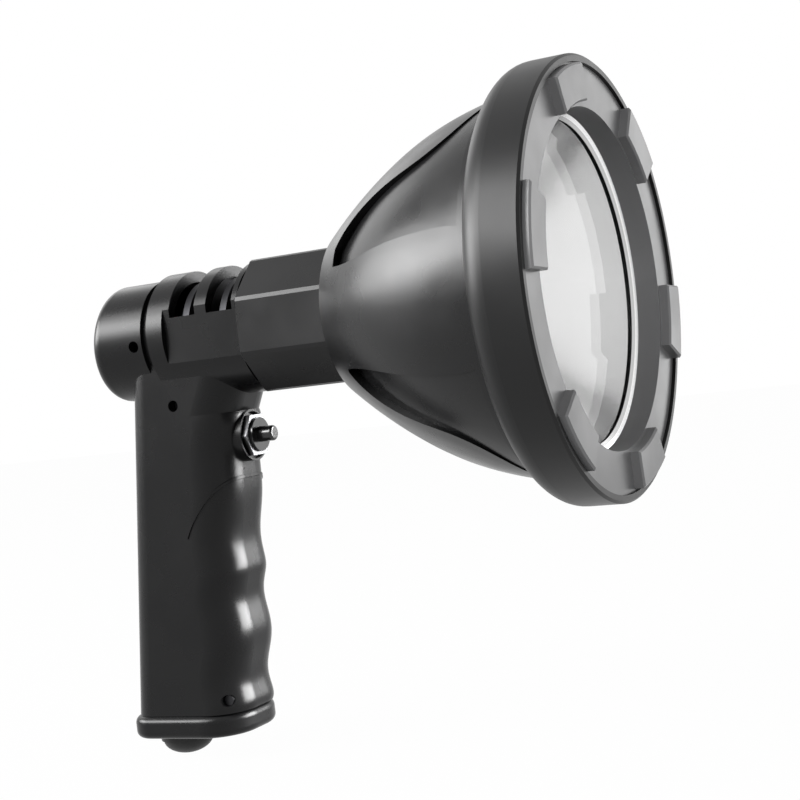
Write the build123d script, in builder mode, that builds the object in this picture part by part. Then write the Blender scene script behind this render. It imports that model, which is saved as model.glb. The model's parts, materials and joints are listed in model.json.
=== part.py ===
from build123d import *
import math
import os

os.makedirs("parts", exist_ok=True)

# Handheld searchlight in millimetres. +X is the way the light shines, +Z is up, and the
# origin is the middle of the grip. The light axis runs along +X above the grip.

# Driving dimensions of the whole light
light_axis_height = 80.0  # from the middle of the grip up to the light axis
grip_drop = 52.0  # from the middle of the grip down to the top of the foot
rear_overhang = 21.8  # from the middle of the grip back to the end of the rear barrel
rear_barrel_length = 22.4
groove_width = 3.9
cooling_length = 36.3  # the stretch with the cooling windows
neck_length = 34.2
bell_length = 69.0
band_length = 20.0
bell_mouth_radius = 61.6  # outside of the bell where it enters the wide front band

# Clearances and the overrun of every cut
running_clearance = 0.08  # radial, where one piece turns or slides in another
fit_clearance = 0.1  # between pieces assembled in one body
cut_overrun = 1.0

quarter_turn = 90  # degrees

# Stations along the light axis, from the rear
rear_x = -rear_overhang
groove_x = rear_x + rear_barrel_length
cooling_x = groove_x + groove_width
neck_x = cooling_x + cooling_length
bell_x = neck_x + neck_length
band_x = bell_x + bell_length
lip_x = band_x + band_length

light_axis = Axis((0, 0, light_axis_height), (1, 0, 0))


def profile_plane(x):
    """Upright plane through the light axis: local X runs forward, local Y is the radius."""
    return Plane(origin=(x, 0, light_axis_height), x_dir=(1, 0, 0), z_dir=(0, -1, 0))


def station(x):
    """Plane across the light axis: local X is the light's own left, local Y is up."""
    return Plane(origin=(x, 0, light_axis_height), x_dir=(0, 1, 0), z_dir=(1, 0, 0))


def level(z):
    """Level plane at a height above the middle of the grip."""
    return Plane.XY.offset(z)


# Grip
grip_rake = 7.0  # degrees that the grip leans back towards its foot
grip_width = 34.0
grip_back = 18.8  # raked centre line to the back of the grip
grip_front = 21.1  # raked centre line to the front, above the first finger
grip_back_corner = 8.0  # radius of the upright corners at the back
grip_front_corner = 13.0
grip_wall = 2.0
finger_depth = 2.6
toe_depth = 4.4  # how far the foot of the grip stands forward of its top
grip_top_drop = 5.0  # light axis down to the top of the grip, inside the barrel
grip_top_reach = 7.5  # how far the front of the grip runs forward into the barrel

# Each row: height as a share of the grip's drop, how far the front stands forward as a share of
# the toe, and how deep the finger grooves bite there as a share of the finger depth.
finger_shares = [
    (1.00, 0.00, 0.0),
    (0.80, 0.03, 0.0),
    (0.60, 0.08, 0.0),
    (0.38, 0.16, 0.0),
    (0.16, 0.30, 0.55),
    (-0.08, 0.46, 0.0),
    (-0.33, 0.70, 0.50),
    (-0.58, 0.86, 0.0),
    (-0.77, 1.00, 0.85),
    (-0.93, 1.00, 0.1),
    (-1.00, 1.00, 0.1),
]


def lean(z):
    """How far forward the raked centre line of the grip is at a height."""
    return z * math.tan(math.radians(grip_rake))


# Raised bead that curves over the side of the grip, above the fingers. Each row: ahead of the
# raked centre line, and above the middle of the grip.
bead_points = [
    (24.0, 29.9),
    (21.6, 28.9),
    (18.5, 27.0),
    (15.2, 24.2),
    (12.3, 20.6),
    (8.8, 15.4),
    (6.6, 10.4),
]
bead_width = 1.0
bead_height = 0.4

# Clamshell barrel
barrel_radius = 20.6
barrel_wall = 3.0
barrel_end_wall = 3.8
barrel_rear_round = 4.6
rear_tilt = 6.0  # degrees that the end of the barrel leans forward at its top
groove_depth = 1.6
cooling_radius = 22.4
panel_half_width = 20.4  # light axis to the flat side panels
panel_lead = 6.3  # start of the cooling stretch to the side panels
sill_height = 6.3  # light axis up to the window sills
window_count = 2
window_width = 10.4
window_lead = 8.9  # start of the cooling stretch to the first window
window_pitch = 15.0
cooling_bore = 18.6
bore_lead = 3.0  # start of the cooling stretch to its wider bore

# Heat sink
fin_radius = 18.3
fin_width = 2.5
fin_lead = 3.4  # from the rear of a window to its fin
core_radius = 12.5
wire_bore = 3.6
core_lead = 6.5  # start of the cooling stretch to the rear of the core
nose_radius = 10.4
sink_flange_radius = 18.6
sink_flange_width = 4.0

# Octagonal neck
neck_half_width = 22.5  # light axis to each flat
neck_edge_break = 0.8
neck_bore = 16.7
neck_rear_spigot = 1.6
neck_front_spigot = 5.0
neck_front_radius = 20.5
seal_width = 1.6
seal_depth = 1.2

# Bell
bell_wall = 5.2
bell_root_radius = 25.4
# Each row: distance along the bell as a share of its length, radius as a share of the mouth
bell_shares = [
    (0.025, 0.462),
    (0.15, 0.574),
    (0.37, 0.742),
    (0.59, 0.872),
    (0.78, 0.947),
    (1.00, 1.000),
]
recess_angle = 35.0  # degrees from level to the middle of each scooped recess
recess_upper_shift = -0.065  # of the level edge in the upper pair, as a share of the mouth
recess_lower_shift = 0.015
recess_tip = 4.0  # degrees that each recess floor is tipped into the bell
recess_tip_lead = 8.0  # mouth of the bell forward to the line that the floor is tipped about
recess_tip_angle = 65.0  # degrees from level to the way that the floor is tipped
recess_tip_rise = 26.0  # light axis to the line that the floor is tipped about
# Each row: distance along the bell as a share of its length, then the edge towards the level and
# the far edge as shares of the mouth's radius
recess_shares = [
    (0.15, -0.050, -0.010),
    (0.30, -0.115, 0.115),
    (0.50, -0.155, 0.165),
    (0.68, -0.185, 0.205),
    (0.81, -0.205, 0.300),
    (0.90, -0.220, 0.440),
    (0.955, -0.235, 0.560),
]
spigot_wall = 2.4  # the bell's front spigot inside the band
spigot_setback = 9.6  # front lip back to the end of the spigot

# Band
band_root = 0.3  # step between the bell and the band's shoulder
band_shoulder = 8.0  # radius of the rounded shoulder
band_seal_lead = 5.0  # rear of the band to its seal
band_lip_width = 2.6
band_front_break = 0.8

# Castellated front ring
ring_lap = 7.8  # bell's mouth in to the bore of the ring
ring_face_setback = 1.2  # front lip back to the ring's flat face
block_count = 6
block_height = 3.4
block_inner_step = 1.2  # bore of the ring out to its blocks
block_outer_step = 0.5  # blocks out to the rim of the ring
block_angle = 22.0
block_phase = 46.6  # degrees from level to the first block
block_break = 0.6
ring_step_setback = 7.6

# Lens, gasket and reflector
lens_clearance = 0.4  # radial, so that the glass may grow with heat
lens_thickness = 3.0
lens_break = 0.4
gasket_width = 4.2
gasket_thickness = 0.9
reflector_rim_width = 6.5
reflector_depth = 65.4  # vertex to the plane of the rim
ledge_width = 4.0
ledge_thickness = 3.0
reflector_flange_thickness = 1.5
reflector_wall = 1.3
throat_radius = 11.6

# Light source
led_board_radius = 9.6
led_board_thickness = 1.6
emitter_side = 7.0
emitter_base = 1.0
emitter_dome = 3.2
led_screw_radius = 1.4
led_screw_circle = 7.0
led_screw_head = 1.1
led_screw_shank = 0.8
led_screw_length = 4.0

# Trigger switch
switch_drop = 37.0  # light axis down to the switch
boss_radius = 9.0
boss_front = 29.0
boss_rim = 0.7
boss_recess = 1.8
switch_panel = 2.9  # wall that the switch is clamped to
boss_root = 12.0
spot_face_radius = 8.0  # room for the switch behind its panel
spot_face_depth = 16.5
switch_thread_radius = 5.9
switch_body_radius = 6.8
switch_body_length = 14.0
switch_cavity_radius = 4.0
switch_cavity_wall = 4.5  # rear of the switch to the floor of its cavity
nut_flats = 14.0
nut_thickness = 2.8
washer_radius = 6.9
washer_thickness = 0.6
bush_stand = 1.2
button_radius = 2.7
button_stand = 5.6
button_length = 13.0
button_round = 0.9
button_flange_radius = 3.6
button_flange_thickness = 1.2
spring_radius = 1.9
spring_wire = 0.45
spring_turns = 6

# Battery pack
cell_radius = 8.5
cell_length = 67.0
cell_bottom = -41.7
cell_spread = 7.0  # middle of the pack to each cell, fore and aft
cell_stagger = 5.8  # middle of the pack to each cell, sideways
cell_edge = 0.5
cell_nub_radius = 3.2
cell_nub_height = 0.9
contact_side = 8.0
contact_thickness = 0.8
cradle_thickness = 1.8
cradle_setback = 2.0  # hollow's front wall back to the cradle
rail_side = 5.0
rail_ahead = 10.0
rail_spread = 9.0

# Driver
board_thickness = 1.6
coil_radius = 6.0
coil_hole = 2.6
coil_height = 5.0
capacitor_radius = 2.6
capacitor_height = 6.4
chip_side = 6.0
chip_height = 1.4
# Places on the board, to the left and up from its middle, as shares of the barrel's bore
coil_shares = (0.51, 0.11)
chip_shares = (0.00, -0.17)
capacitor_shares = [(-0.45, 0.34), (-0.68, -0.06), (-0.28, 0.68)]

# Leads
lead_radius = 0.9
lead_bend = 4.0
led_lead_spread = 1.6
led_lead_rise = 7.0  # light axis up to the leads at the driver board
led_lead_turn = 2.0  # core of the heat sink back to where the leads turn in
switch_lead_spread = 3.0
switch_lead_back = 7.0  # rear of the switch back to its rising leads
switch_lead_drop = 14.5  # light axis down to the switch leads at the driver board
battery_lead_rise = 5.0  # straight out of the battery pack
battery_lead_climb = 11.0  # top of the battery pack up to where both leads run together
battery_lead_x = -4.0
battery_lead_drop = 11.0  # light axis down to the battery leads at the driver board

# Foot
foot_height = 8.0
foot_flare = 1.7
foot_back_corner = 9.0
foot_front_corner = 15.0
foot_round = 2.6
foot_seat_depth = 5.0  # underside of the foot up to under its screw heads
foot_post_back = 12.6
foot_post_spread = 11.4
socket_setback = 14.0  # middle of the grip back to the charging socket
socket_radius = 5.5
socket_length = 13.0
socket_bore = 2.75
socket_bore_depth = 9.0
socket_recess_radius = 7.2
socket_recess_depth = 2.4
socket_boss_wall = 1.9
socket_boss_height = 5.4
socket_pin_radius = 0.9
cover_radius = 9.7
cover_rim = 3.0
cover_shoulder = 0.7
cover_height = 8.8
cover_spigot_radius = 5.0
cover_spigot_height = 1.6
cover_gap = 0.3
hinge_lead = 1.3  # cover's rim to the bend of its tether
bend_gap = 0.3
tether_width = 6.0
tether_length = 6.5
tether_thickness = 1.2
tether_corner = 1.0
stud_radius = 1.5
stud_length = 3.0
stud_ahead = 4.0  # bend of the tether to its stud

# Screws
screw_hole_radius = 2.0
screw_head_radius = 1.8
screw_head_height = 2.2
screw_shank_radius = 1.1
screw_head_seat = 11.0  # plane of symmetry to under the screw heads
screw_length = 19.0
post_radius = 3.6
barrel_screw_ahead = 19.0  # from the end of the rear barrel
barrel_screw_drop = 1.9  # below the light axis
upper_screw_ahead = 1.3  # from the raked centre line of the grip
upper_screw_drop = 23.8  # below the light axis
lower_screw_ahead = 20.0  # from the raked centre line of the grip
lower_screw_rise = 4.6  # above the top of the foot
foot_screw_length = 5.0  # of its shank, into the posts

# Sizes and stations inside the light, worked out from the sizes above
band_bore = bell_mouth_radius + fit_clearance
band_rear_radius = band_bore + band_root
band_radius = band_rear_radius + band_shoulder
ring_outer_radius = band_radius - band_lip_width - running_clearance
ring_inner_radius = bell_mouth_radius - ring_lap
spigot_inner_radius = bell_mouth_radius - spigot_wall
ledge_inner_radius = spigot_inner_radius - ledge_width
lens_radius = spigot_inner_radius - lens_clearance
reflector_flange_radius = spigot_inner_radius - 3 * fit_clearance
reflector_rim_radius = reflector_flange_radius - reflector_rim_width
focal_length = reflector_rim_radius**2 / (4 * reflector_depth)
ring_face_x = lip_x - ring_face_setback
ring_step_x = lip_x - ring_step_setback
band_step_x = ring_step_x - fit_clearance
band_seal_x = band_x + band_seal_lead
spigot_x = lip_x - spigot_setback
gasket_x = spigot_x - gasket_thickness
lens_x = gasket_x - lens_thickness
ledge_x = lens_x - reflector_flange_thickness
vertex_x = lens_x - reflector_depth
throat_x = vertex_x + throat_radius**2 / (4 * focal_length)
focus_x = vertex_x + focal_length
nose_x = focus_x - led_board_thickness - emitter_base
core_x = cooling_x + core_lead
barrel_bore = barrel_radius - barrel_wall
board_x = rear_x + barrel_end_wall
grip_bottom = -grip_drop
switch_height = light_axis_height - switch_drop
switch_seat_x = boss_front - boss_recess - switch_panel
window_xs = [cooling_x + window_lead + i * window_pitch for i in range(window_count)]


def grip_front_at(forward_share, bite_share):
    """Raked centre line to the front of the grip for one row of the finger shares."""
    return grip_front + toe_depth * forward_share - finger_depth * bite_share


def grip_plane(z, forward):
    """Level plane whose middle is half way between the back and the front of the grip."""
    return Plane(origin=(lean(z) + (forward - grip_back) / 2, 0, z))


def grip_outline(length, width, back_corner, front_corner):
    """Outline across the grip: a rectangle whose front is rounder than its back."""
    with BuildSketch(mode=Mode.PRIVATE) as outline:
        Rectangle(length, width)
        fillet(outline.vertices().group_by(Axis.X)[0], back_corner)
        fillet(outline.vertices().group_by(Axis.X)[-1], front_corner)
    return outline.sketch


# The three side screws pass through posts that join the two halves of the clamshell.
barrel_screw = (rear_x + barrel_screw_ahead, light_axis_height - barrel_screw_drop)
upper_screw_z = light_axis_height - upper_screw_drop
upper_screw = (lean(upper_screw_z) + upper_screw_ahead, upper_screw_z)
lower_screw_z = grip_bottom + lower_screw_rise
lower_screw = (lean(lower_screw_z) + lower_screw_ahead, lower_screw_z)
side_screws = {"barrel": barrel_screw, "upper": upper_screw, "lower": lower_screw}

# Plane raked like the grip: local X is forward, local Y is +Y, and the offset runs up the grip.
rake = math.radians(grip_rake)
grip_frame = Plane(
    origin=(0, 0, 0),
    x_dir=(math.cos(rake), 0, -math.sin(rake)),
    z_dir=(math.sin(rake), 0, math.cos(rake)),
)
pack_bottom = cell_bottom - contact_thickness - cradle_thickness
foot_screw_x = lean(grip_bottom) - foot_post_back
foot_screws = {"right": (foot_screw_x, -foot_post_spread), "left": (foot_screw_x, foot_post_spread)}

# Hollow of the clamshell: the bore of the barrel, the room in the grip and the flat that the
# switch seats on, less the screw posts
cavity_front = grip_front - grip_wall - finger_depth / 2
cavity_back = grip_back - grip_wall
cavity_depth = cavity_front + cavity_back
cavity_width = grip_width - 2 * grip_wall
cavity_back_corner = grip_back_corner - grip_wall
cavity_front_corner = grip_front_corner - grip_wall
cavity_top = light_axis_height - barrel_radius * math.sin(math.radians(quarter_turn / 2))
cavity_middle = (cavity_front - cavity_back) / 2
with BuildPart() as hollow:
    with BuildSketch(profile_plane(board_x)):
        with BuildLine():
            bore_step = cooling_x + bore_lead - board_x
            bore_end = neck_x - board_x + cut_overrun
            Polyline(
                (0, 0),
                (0, barrel_bore),
                (bore_step, barrel_bore),
                (bore_step, cooling_bore),
                (bore_end, cooling_bore),
                (bore_end, 0),
                (0, 0),
            )
        make_face()
    revolve(axis=light_axis)
    for z in (grip_bottom - cut_overrun, cavity_top):
        with BuildSketch(Plane(origin=(lean(z) + cavity_middle, 0, z))):
            add(
                grip_outline(
                    cavity_depth, cavity_width, cavity_back_corner, cavity_front_corner
                )
            )
    loft(ruled=True)
    with BuildSketch(Plane.YZ.offset(switch_seat_x)):
        with Locations((0, switch_height)):
            Circle(spot_face_radius)
    extrude(amount=-spot_face_depth)
    with BuildSketch(Plane.XZ.offset(-band_radius)):
        with Locations(*side_screws.values()):
            Circle(post_radius)
    extrude(amount=2 * band_radius, mode=Mode.SUBTRACT)
    # corner posts that carry the battery pack and take the foot's screws
    with BuildSketch(grip_frame.offset(pack_bottom)):
        for side in (-1, 1):
            with Locations((-foot_post_back * math.cos(rake), side * foot_post_spread)):
                Circle(post_radius)
    extrude(amount=-grip_drop, mode=Mode.SUBTRACT)


def grip_body(swell):
    """Grip through its finger rows, swollen all round by an amount."""
    with BuildPart() as body:
        for height_share, forward_share, bite_share in finger_shares:
            forward = grip_front_at(forward_share, bite_share)
            with BuildSketch(grip_plane(grip_drop * height_share, forward)):
                add(
                    grip_outline(
                        forward + grip_back + 2 * swell,
                        grip_width + 2 * swell,
                        grip_back_corner + swell,
                        grip_front_corner + swell,
                    )
                )
        loft()
    return body.part


with BuildPart() as grip_bead:
    with BuildSketch(Plane.XZ):
        with BuildLine():
            upper_edge = [(lean(z) + ahead, z + bead_width / 2) for ahead, z in bead_points]
            lower_edge = [(lean(z) + ahead, z - bead_width / 2) for ahead, z in bead_points]
            Spline(*upper_edge)
            Spline(*lower_edge)
            Line(upper_edge[0], lower_edge[0])
            Line(upper_edge[-1], lower_edge[-1])
        make_face()
    extrude(amount=grip_width, both=True)
    add(grip_body(bead_height), mode=Mode.INTERSECT)

# Clamshell, drawn whole and then parted on the plane of symmetry
with BuildPart() as clamshell:
    add(grip_body(0))
    add(grip_bead.part)
    grip_top = light_axis_height - grip_top_drop
    for height, forward in ((grip_drop, grip_front), (grip_top, grip_front + grip_top_reach)):
        with BuildSketch(grip_plane(height, forward)):
            add(
                grip_outline(
                    forward + grip_back, grip_width, grip_back_corner, grip_front_corner
                )
            )
    loft(ruled=True)
    # rear barrel, ring groove and cooling stretch
    with BuildSketch(profile_plane(rear_x)):
        with BuildLine():
            groove_end = rear_barrel_length + groove_width
            cooling_end = groove_end + cooling_length
            Polyline(
                (-barrel_end_wall, 0),
                (-barrel_end_wall, barrel_radius),
                (rear_barrel_length, barrel_radius),
                (rear_barrel_length, barrel_radius - groove_depth),
                (groove_end, barrel_radius - groove_depth),
                (groove_end, cooling_radius),
                (cooling_end, cooling_radius),
                (cooling_end, 0),
                (-barrel_end_wall, 0),
            )
        make_face()
    revolve(axis=light_axis)
    tilt = math.radians(rear_tilt)
    rear_plane = Plane(
        origin=(rear_x, 0, light_axis_height), z_dir=(math.cos(tilt), 0, -math.sin(tilt))
    )
    split(bisect_by=rear_plane, keep=Keep.TOP)
    rear_face = clamshell.faces().sort_by(Axis(rear_plane.origin, rear_plane.z_dir))[0]
    fillet(rear_face.edges(), barrel_rear_round)
    # round boss round the switch
    with BuildSketch(Plane.YZ.offset(boss_front)):
        with Locations((0, switch_height)):
            Circle(boss_radius)
    extrude(amount=-boss_root)
    add(hollow.part, mode=Mode.SUBTRACT)
    # flat side panels
    with BuildSketch(profile_plane(cooling_x + panel_lead)):
        with Locations((0, -neck_half_width)):
            panel_length = cooling_length - panel_lead + cut_overrun
            Rectangle(panel_length, 2 * neck_half_width, align=(Align.MIN, Align.MIN))
    panel_cut = extrude(amount=band_radius, both=True, mode=Mode.PRIVATE)
    with BuildSketch(profile_plane(cooling_x)):
        with Locations((0, -neck_half_width)):
            core_length = cooling_length + 2 * cut_overrun
            Rectangle(core_length, 2 * neck_half_width, align=(Align.MIN, Align.MIN))
    panel_keep = extrude(amount=panel_half_width, both=True, mode=Mode.PRIVATE)
    add(panel_cut - panel_keep, mode=Mode.SUBTRACT)
    # cooling windows over the top of the barrel
    for window_x in window_xs:
        with BuildSketch(level(light_axis_height + sill_height)):
            with Locations((window_x, 0)):
                Rectangle(window_width, 2 * band_radius, align=(Align.MIN, Align.CENTER))
        extrude(amount=band_radius, mode=Mode.SUBTRACT)
    # hole and recess for the switch
    with BuildSketch(Plane.YZ.offset(boss_front - boss_recess)):
        with Locations((0, switch_height)):
            Circle(boss_radius - boss_rim)
    extrude(amount=boss_radius, mode=Mode.SUBTRACT)
    with BuildSketch(Plane.YZ.offset(boss_front)):
        with Locations((0, switch_height)):
            Circle(switch_thread_radius + fit_clearance)
    extrude(amount=-boss_recess - switch_panel - cut_overrun, mode=Mode.SUBTRACT)
    # side screws: deep counterbores on the right half, pilot holes into the left half
    with BuildSketch(Plane.XZ.offset(screw_head_seat)):
        with Locations(*side_screws.values()):
            Circle(screw_hole_radius)
    extrude(amount=barrel_radius, mode=Mode.SUBTRACT)
    with BuildSketch(Plane.XZ.offset(screw_head_seat + cut_overrun)):
        with Locations(*side_screws.values()):
            Circle(screw_shank_radius + fit_clearance)
    extrude(amount=-screw_length - 2 * cut_overrun, mode=Mode.SUBTRACT)
    # pilot holes for the foot screws
    with BuildSketch(level(grip_bottom)):
        with Locations(*foot_screws.values()):
            Circle(screw_shank_radius + fit_clearance)
    extrude(amount=foot_screw_length, mode=Mode.SUBTRACT)

with BuildPart() as handle_right:
    add(clamshell.part)
    split(bisect_by=Plane.XZ, keep=Keep.TOP)
with BuildPart() as handle_left:
    add(clamshell.part)
    split(bisect_by=Plane.XZ, keep=Keep.BOTTOM)

pieces = {"handle_right": handle_right, "handle_left": handle_left}

# Side screws, each a head and a shank
for place_name, place in side_screws.items():
    with BuildPart() as handle_screw:
        with BuildSketch(Plane.XZ.offset(screw_head_seat)):
            with Locations(place):
                Circle(screw_head_radius)
        extrude(amount=screw_head_height)
        with BuildSketch(Plane.XZ.offset(screw_head_seat)):
            with Locations(place):
                Circle(screw_shank_radius)
        extrude(amount=-screw_length)
    pieces[f"handle_screw_{place_name}"] = handle_screw

# Heat sink: core, fins, front flange and the nose that carries the light source
with BuildPart() as heat_sink:
    with BuildSketch(station(core_x)):
        Circle(core_radius)
    extrude(amount=bell_x - core_x)
    with BuildSketch(station(bell_x)):
        Circle(sink_flange_radius)
    extrude(amount=-sink_flange_width)
    with BuildSketch(station(bell_x)):
        Circle(nose_radius)
    extrude(amount=nose_x - bell_x)
    for window_x in window_xs:
        with BuildSketch(station(window_x + fin_lead)):
            Circle(fin_radius)
        extrude(amount=fin_width)
    with BuildSketch(station(core_x)):
        Circle(wire_bore)
    extrude(amount=nose_x - core_x, mode=Mode.SUBTRACT)
    with BuildSketch(station(nose_x)):
        with PolarLocations(led_screw_circle, 2):
            Circle(led_screw_shank + fit_clearance)
    extrude(amount=-led_screw_length, mode=Mode.SUBTRACT)

pieces["heat_sink"] = heat_sink

# Octagonal neck with a spigot at each end
with BuildPart() as neck_barrel:
    with BuildSketch(station(neck_x)):
        RegularPolygon(neck_half_width, 8, major_radius=False, rotation=quarter_turn / 4)
    extrude(amount=neck_length)
    chamfer(neck_barrel.edges(), neck_edge_break)
    with BuildSketch(station(neck_x)):
        Circle(cooling_bore - fit_clearance)
    extrude(amount=-neck_rear_spigot)
    with BuildSketch(station(bell_x)):
        Circle(neck_front_radius)
    extrude(amount=neck_front_spigot)
    with BuildSketch(station(neck_x - neck_rear_spigot)):
        Circle(neck_bore)
    extrude(amount=neck_length + neck_rear_spigot + neck_front_spigot, mode=Mode.SUBTRACT)
    with BuildSketch(station(bell_x - sink_flange_width)):
        Circle(sink_flange_radius + fit_clearance)
    extrude(amount=neck_front_spigot + sink_flange_width, mode=Mode.SUBTRACT)
    with BuildSketch(station(bell_x + seal_width)):
        Circle(neck_front_radius)
        Circle(neck_front_radius - seal_depth, mode=Mode.SUBTRACT)
    extrude(amount=seal_width, mode=Mode.SUBTRACT)

with BuildPart() as neck_seal:
    with BuildSketch(station(bell_x + seal_width)):
        Circle(neck_front_radius)
        Circle(neck_front_radius - seal_depth, mode=Mode.SUBTRACT)
    extrude(amount=seal_width)
pieces["neck_barrel"] = neck_barrel
pieces["neck_seal"] = neck_seal


def bell_points(inset):
    """Points along the bell's profile, forward of its root, set in by a wall."""
    return [
        (bell_length * along, bell_mouth_radius * out - inset) for along, out in bell_shares
    ]


# Solid dome up to the mouth of the bell
with BuildPart() as dome:
    with BuildSketch(profile_plane(bell_x)):
        with BuildLine():
            outer = bell_points(0)
            Line((0, 0), (0, bell_root_radius))
            Line((0, bell_root_radius), outer[0])
            Spline(*outer)
            Polyline(outer[-1], (bell_length, 0), (0, 0))
        make_face()
    revolve(axis=light_axis)



def outward_plane(x, angle):
    """Plane through the light axis that faces out to the right, at degrees above level."""
    return Plane(
        origin=(x, 0, light_axis_height),
        x_dir=(1, 0, 0),
        z_dir=(0, -math.cos(math.radians(angle)), math.sin(math.radians(angle))),
    )


# Four scooped recesses, an upper and a lower pair. The floor of each is the dome itself, tipped
# into the bell about a line across its front, so a recess is deepest at the root.
recess_pairs = []
for side, shift in ((1, recess_upper_shift), (-1, recess_lower_shift)):
    tip_plane = outward_plane(band_x + recess_tip_lead, side * recess_tip_angle)
    tip_axis = Axis(tip_plane.offset(recess_tip_rise).origin, tip_plane.y_dir)
    level_edge = [
        (bell_length * along, side * bell_mouth_radius * (near + shift))
        for along, near, _ in recess_shares
    ]
    far_edge = [
        (bell_length * along, side * bell_mouth_radius * far) for along, _, far in recess_shares
    ]
    with BuildPart() as recess_pair:
        with BuildSketch(outward_plane(bell_x, side * recess_angle)):
            with BuildLine():
                Spline(*level_edge)
                Spline(*far_edge)
                Line(level_edge[0], far_edge[0])
                Line(level_edge[-1], far_edge[-1])
            make_face()
        extrude(amount=band_radius)
        add(dome.part.rotate(tip_axis, -recess_tip), mode=Mode.SUBTRACT)
        mirror(about=Plane.XZ)
    recess_pairs.append(recess_pair.part)

# Bell housing: dome, front spigot inside the band, ledge for the reflector, root for the neck
with BuildPart() as bell_housing:
    add(dome.part)
    with BuildSketch(station(band_x)):
        Circle(bell_mouth_radius)
    extrude(amount=spigot_x - band_x)
    with BuildSketch(profile_plane(bell_x)):
        with BuildLine():
            inner = bell_points(bell_wall)[1:]
            ledge_rear = ledge_x - ledge_thickness - bell_x
            root_bore = neck_front_radius + fit_clearance
            Polyline(
                (-cut_overrun, 0),
                (-cut_overrun, root_bore),
                (neck_front_spigot + fit_clearance, root_bore),
                inner[0],
            )
            Spline(*inner)
            Polyline(
                inner[-1],
                (ledge_rear, inner[-1][1]),
                (ledge_rear, ledge_inner_radius),
                (ledge_x - bell_x, ledge_inner_radius),
                (ledge_x - bell_x, spigot_inner_radius),
                (spigot_x - bell_x + cut_overrun, spigot_inner_radius),
                (spigot_x - bell_x + cut_overrun, 0),
                (-cut_overrun, 0),
            )
        make_face()
    revolve(axis=light_axis, mode=Mode.SUBTRACT)
    for pair in recess_pairs:
        add(pair, mode=Mode.SUBTRACT)
    with BuildSketch(station(band_seal_x)):
        Circle(bell_mouth_radius)
        Circle(bell_mouth_radius - seal_depth, mode=Mode.SUBTRACT)
    extrude(amount=seal_width, mode=Mode.SUBTRACT)

with BuildPart() as bezel_seal:
    with BuildSketch(station(band_seal_x)):
        Circle(bell_mouth_radius)
        Circle(bell_mouth_radius - seal_depth, mode=Mode.SUBTRACT)
    extrude(amount=seal_width)
pieces["bell_housing"] = bell_housing
pieces["bezel_seal"] = bezel_seal

# Wide front band with a rounded shoulder and a thin lip round the castellated ring
with BuildPart() as bezel_band:
    with BuildSketch(profile_plane(band_x)):
        with BuildLine():
            shoulder_middle = (band_shoulder, band_rear_radius)
            CenterArc(shoulder_middle, band_shoulder, quarter_turn, quarter_turn)
            Line((0, band_bore), (0, band_rear_radius))
            Polyline(
                (band_shoulder, band_radius),
                (band_length - band_front_break, band_radius),
                (band_length, band_radius - band_front_break),
                (band_length, band_radius - band_lip_width),
                (band_step_x - band_x, band_radius - band_lip_width),
                (band_step_x - band_x, band_bore),
                (0, band_bore),
            )
        make_face()
    revolve(axis=light_axis)
pieces["bezel_band"] = bezel_band

# Castellated ring that screws into the band and holds the lens. Its raised blocks are for a
# wrench.
block_inner_radius = ring_inner_radius + block_inner_step
block_outer_radius = ring_outer_radius - block_outer_step
with BuildSketch() as block_outline:
    with BuildLine():
        inner_arc = CenterArc((0, 0), block_inner_radius, -block_angle / 2, block_angle)
        outer_arc = CenterArc((0, 0), block_outer_radius, -block_angle / 2, block_angle)
        Line(inner_arc @ 0, outer_arc @ 0)
        Line(inner_arc @ 1, outer_arc @ 1)
    make_face()
with BuildPart() as front_ring:
    with BuildSketch(station(ring_step_x)):
        Circle(ring_outer_radius)
        Circle(ring_inner_radius, mode=Mode.SUBTRACT)
    extrude(amount=ring_face_x - ring_step_x)
    with BuildSketch(station(spigot_x + fit_clearance)):
        Circle(spigot_inner_radius)
        Circle(ring_inner_radius, mode=Mode.SUBTRACT)
    extrude(amount=ring_step_x - spigot_x - fit_clearance)
    with BuildSketch(station(ring_face_x)):
        with PolarLocations(0, block_count, start_angle=block_phase):
            add(block_outline.sketch)
    extrude(amount=block_height)
    block_tops = front_ring.faces().filter_by(Axis.X).group_by(Axis.X)[-1]
    chamfer(block_tops.edges(), block_break)
pieces["front_ring"] = front_ring

# Lens, gasket and reflector
with BuildPart() as lens:
    with BuildSketch(station(lens_x)):
        Circle(lens_radius)
    extrude(amount=lens_thickness)
    chamfer(lens.edges(), lens_break)

with BuildPart() as lens_gasket:
    with BuildSketch(station(gasket_x)):
        Circle(lens_radius)
        Circle(lens_radius - gasket_width, mode=Mode.SUBTRACT)
    extrude(amount=gasket_thickness)
pieces["lens"] = lens
pieces["lens_gasket"] = lens_gasket

# The bright face of the reflector is a true paraboloid, drawn as one quadratic Bezier.
with BuildPart() as reflector:
    with BuildSketch(profile_plane(0)):
        with BuildLine():
            bend_x = vertex_x + throat_radius * reflector_rim_radius / (4 * focal_length)
            bend_radius = (throat_radius + reflector_rim_radius) / 2
            Bezier(
                (throat_x, throat_radius),
                (bend_x, bend_radius),
                (lens_x, reflector_rim_radius),
            )
            Polyline(
                (lens_x, reflector_rim_radius),
                (lens_x, reflector_flange_radius),
                (ledge_x, reflector_flange_radius),
                (ledge_x, reflector_rim_radius + reflector_wall),
            )
            Bezier(
                (ledge_x, reflector_rim_radius + reflector_wall),
                (bend_x - reflector_flange_thickness, bend_radius + reflector_wall),
                (throat_x, throat_radius + reflector_wall),
            )
            Line((throat_x, throat_radius + reflector_wall), (throat_x, throat_radius))
        make_face()
    revolve(axis=light_axis)

pieces["reflector"] = reflector

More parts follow.
